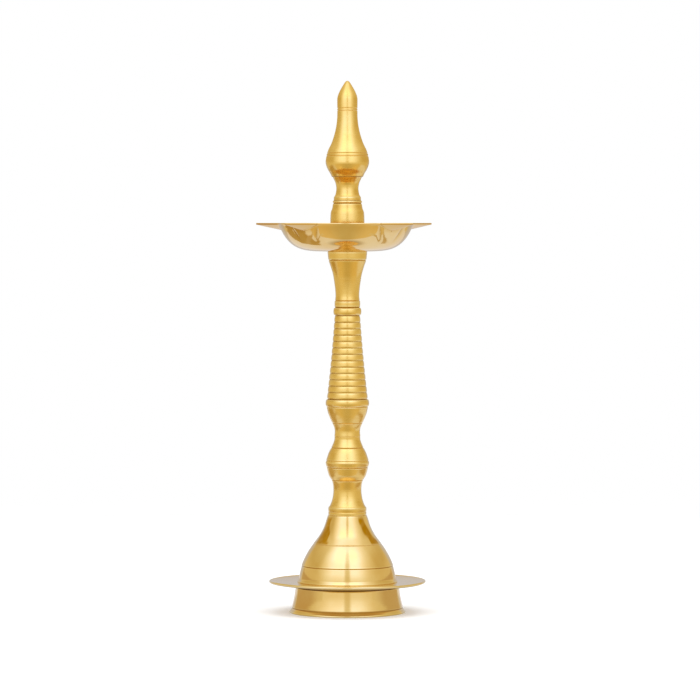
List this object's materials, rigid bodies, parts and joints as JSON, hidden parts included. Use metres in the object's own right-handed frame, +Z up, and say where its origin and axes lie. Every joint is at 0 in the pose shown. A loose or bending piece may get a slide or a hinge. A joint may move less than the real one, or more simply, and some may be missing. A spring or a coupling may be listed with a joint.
{
  "type": "standing oil lamp",
  "caption": "Tall turned brass oil lamp: bell base with a drip plate, ribbed stem, shallow dish with pinched spouts for wicks, and a pointed finial that screws off.",
  "frame": {"origin": "on the lamp's vertical axis, on the plane that its foot stands on", "axes": "+Z up along the lamp's axis, -Y towards the viewer of the front, +X to that viewer's right"},
  "size_m": [0.1358, 0.1315, 0.4064],
  "materials": {
    "polished_brass": "cast, turned and mirror polished",
    "turned_brass": "satin, with fine lathe rings",
    "mild_steel": "threaded rod and nut, dull",
    "leather": "cut leather, oiled"
  },
  "bodies": {
    "base": {"foot_ring": "polished_brass", "drip_plate": "polished_brass", "base_bell": "polished_brass", "base_stud": "mild_steel", "base_nut": "mild_steel", "nut_washer": "mild_steel"},
    "stem_washer": {"stem_washer": "leather"},
    "stem": {"stem_baluster": "turned_brass", "stem_column": "turned_brass", "column_stud": "mild_steel"},
    "gasket": {"dish_gasket": "leather"},
    "dish": {"oil_dish": "polished_brass"},
    "finial_washer": {"finial_washer": "leather"},
    "finial": {"finial_neck": "turned_brass", "finial_crown": "turned_brass", "finial_stud": "mild_steel"}
  },
  "joints": [
    {"name": "stem_rise", "type": "slide", "parent": "base", "child": "stem_washer", "axis": [0, 0, 1], "range_m": [0, 0.012]},
    {"name": "stem_turn", "type": "hinge", "parent": "stem_washer", "child": "stem", "pos_m": [0, 0, 0.0745], "axis": [0, 0, 1], "range_deg": [0, 2880]},
    {"name": "dish_lift", "type": "slide", "parent": "stem", "child": "gasket", "axis": [0, 0, 1], "range_m": [0, 0.06]},
    {"name": "dish_turn", "type": "hinge", "parent": "gasket", "child": "dish", "pos_m": [0, 0, 0.2763], "axis": [0, 0, 1], "continuous": true},
    {"name": "finial_rise", "type": "slide", "parent": "gasket", "child": "finial_washer", "axis": [0, 0, 1], "range_m": [0, 0.01]},
    {"name": "finial_turn", "type": "hinge", "parent": "finial_washer", "child": "finial", "pos_m": [0, 0, 0.2781], "axis": [0, 0, 1], "range_deg": [0, 2880]}
  ],
  "couplings": [
    {"joint": "stem_rise", "follows": "stem_turn", "m_per_rad": 0.00023873},
    {"joint": "finial_rise", "follows": "finial_turn", "m_per_rad": 0.00019894}
  ]
}
